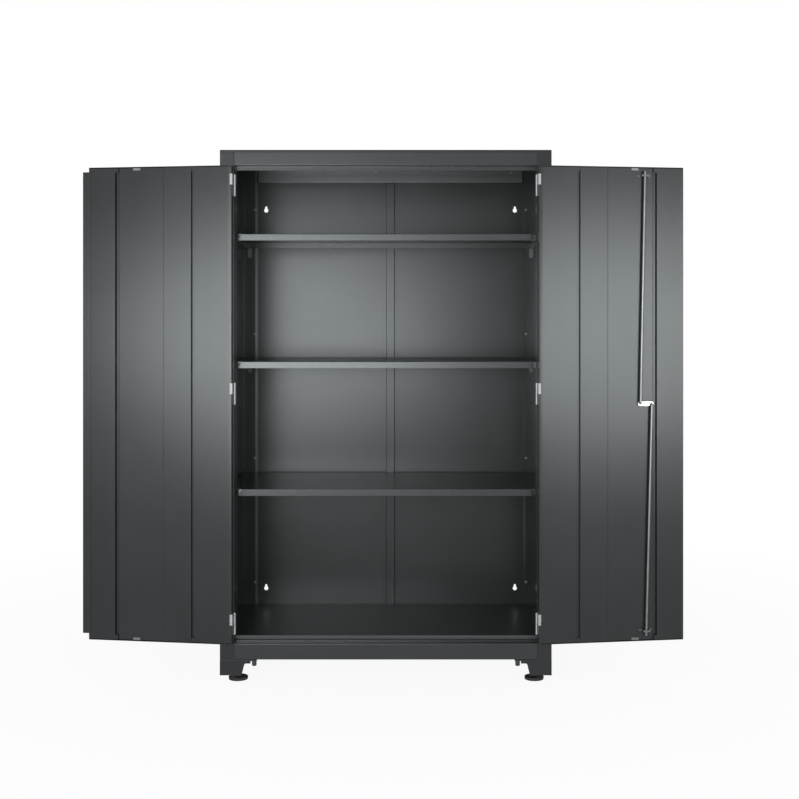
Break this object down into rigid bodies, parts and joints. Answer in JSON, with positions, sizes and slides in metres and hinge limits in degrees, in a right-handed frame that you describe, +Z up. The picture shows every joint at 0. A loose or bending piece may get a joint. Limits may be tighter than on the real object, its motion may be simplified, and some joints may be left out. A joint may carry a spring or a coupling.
{
  "type": "heavy-duty storage cabinet",
  "caption": "Tall two-door steel storage cabinet with adjustable shelves, lift-off hinges, a rod lock and bracket feet with screw-in levelers, for tools and stores.",
  "frame": {"origin": "centre of the resting box's bottom, on the floor, doors open", "axes": "+X to the right seen from the front, +Y towards the back, +Z up"},
  "size_m": [2.2264, 0.6492, 1.96],
  "materials": {
    "powder_coat": "satin dark grey powder coat with a fine texture",
    "zinc_plate": "bright zinc plate on steel",
    "chrome_plate": "chrome plate",
    "black_steel": "black oxide",
    "black_rubber": "black rubber pad on a black stem"
  },
  "bodies": {
    "cabinet": {"side_panel_left": "powder_coat", "side_panel_right": "powder_coat", "post_channel_left": "powder_coat", "post_channel_right": "powder_coat", "rear_post_left": "powder_coat", "rear_post_right": "powder_coat", "top_panel": "powder_coat", "top_rail": "powder_coat", "rear_header": "powder_coat", "back_panel_left": "powder_coat", "back_panel_right": "powder_coat", "back_rib": "powder_coat", "floor_panel": "powder_coat", "base_rail_front": "powder_coat", "base_rail_rear": "powder_coat", "floor_beams": "powder_coat", "foot_front_left": "powder_coat", "foot_front_right": "powder_coat", "foot_rear_left": "powder_coat", "foot_rear_right": "powder_coat", "foot_bolts": "black_steel", "leveler_nuts": "zinc_plate", "shelf_clips_low": "zinc_plate", "shelf_clips_middle": "zinc_plate", "shelf_clips_high": "zinc_plate", "hinge_posts_left": "zinc_plate", "hinge_posts_right": "zinc_plate", "hinge_pins_left": "zinc_plate", "hinge_pins_right": "zinc_plate", "back_screws": "zinc_plate", "header_screws": "zinc_plate"},
    "door_left": {"door_skin_left": "powder_coat", "door_stiffener_left": "powder_coat", "door_astragal": "powder_coat", "hinge_leaves_left": "zinc_plate", "hinge_screws_left": "zinc_plate", "strike_plates_left": "zinc_plate"},
    "door_right": {"door_skin_right": "powder_coat", "door_stiffener_right": "powder_coat", "hinge_leaves_right": "zinc_plate", "hinge_screws_right": "zinc_plate", "strike_plates_right": "zinc_plate", "lock_housing": "chrome_plate", "rod_guides": "zinc_plate"},
    "lock": {"lock_handle": "chrome_plate", "key_cylinder": "chrome_plate", "lock_spindle": "zinc_plate", "lock_cam": "zinc_plate", "cam_nut": "zinc_plate"},
    "rod_upper": {"rod_upper": "zinc_plate"},
    "rod_lower": {"rod_lower": "zinc_plate"},
    "shelf_low": {"shelf_low": "powder_coat"},
    "shelf_middle": {"shelf_middle": "powder_coat"},
    "shelf_high": {"shelf_high": "powder_coat"},
    "leveler_front_left": {"leveler_front_left": "black_rubber"},
    "leveler_front_right": {"leveler_front_right": "black_rubber"},
    "leveler_rear_left": {"leveler_rear_left": "black_rubber"},
    "leveler_rear_right": {"leveler_rear_right": "black_rubber"}
  },
  "joints": [
    {"name": "door_left_swing", "type": "hinge", "parent": "cabinet", "child": "door_left", "pos_m": [-0.54362, -0.29168, 1.0245], "axis": [0, 0, 1], "range_deg": [0, 188.4]},
    {"name": "door_right_swing", "type": "hinge", "parent": "cabinet", "child": "door_right", "pos_m": [0.56538, -0.29168, 1.0245], "axis": [0, 0, -1], "range_deg": [0, 188.4]},
    {"name": "lock_turn", "type": "hinge", "parent": "door_right", "child": "lock", "pos_m": [0.96859, -0.26347, 1.026], "axis": [-0.1461, 0.9893, 0], "range_deg": [0, 90]},
    {"name": "rod_upper_pivot", "type": "hinge", "parent": "lock", "child": "rod_upper", "pos_m": [0.949, -0.27799, 1.026], "axis": [-0.1461, 0.9893, 0], "range_deg": [-91.6, 0]},
    {"name": "rod_lower_pivot", "type": "hinge", "parent": "lock", "child": "rod_lower", "pos_m": [0.99154, -0.27171, 1.026], "axis": [-0.1461, 0.9893, 0], "range_deg": [-91.6, 0]},
    {"name": "shelf_low_lift", "type": "slide", "parent": "cabinet", "child": "shelf_low", "axis": [0, 0, 1], "range_m": [0, 0.05]},
    {"name": "shelf_middle_lift", "type": "slide", "parent": "cabinet", "child": "shelf_middle", "axis": [0, 0, 1], "range_m": [0, 0.05]},
    {"name": "shelf_high_lift", "type": "slide", "parent": "cabinet", "child": "shelf_high", "axis": [0, 0, 1], "range_m": [0, 0.05]},
    {"name": "leveler_front_left_screw", "type": "slide", "parent": "cabinet", "child": "leveler_front_left", "axis": [0, 0, -1], "range_m": [0, 0.03]},
    {"name": "leveler_front_right_screw", "type": "slide", "parent": "cabinet", "child": "leveler_front_right", "axis": [0, 0, -1], "range_m": [0, 0.03]},
    {"name": "leveler_rear_left_screw", "type": "slide", "parent": "cabinet", "child": "leveler_rear_left", "axis": [0, 0, -1], "range_m": [0, 0.03]},
    {"name": "leveler_rear_right_screw", "type": "slide", "parent": "cabinet", "child": "leveler_rear_right", "axis": [0, 0, -1], "range_m": [0, 0.03]}
  ],
  "couplings": [
    {"joint": "rod_upper_pivot", "follows": "lock_turn", "ratio": -1.0164},
    {"joint": "rod_lower_pivot", "follows": "lock_turn", "ratio": -1.0164}
  ]
}
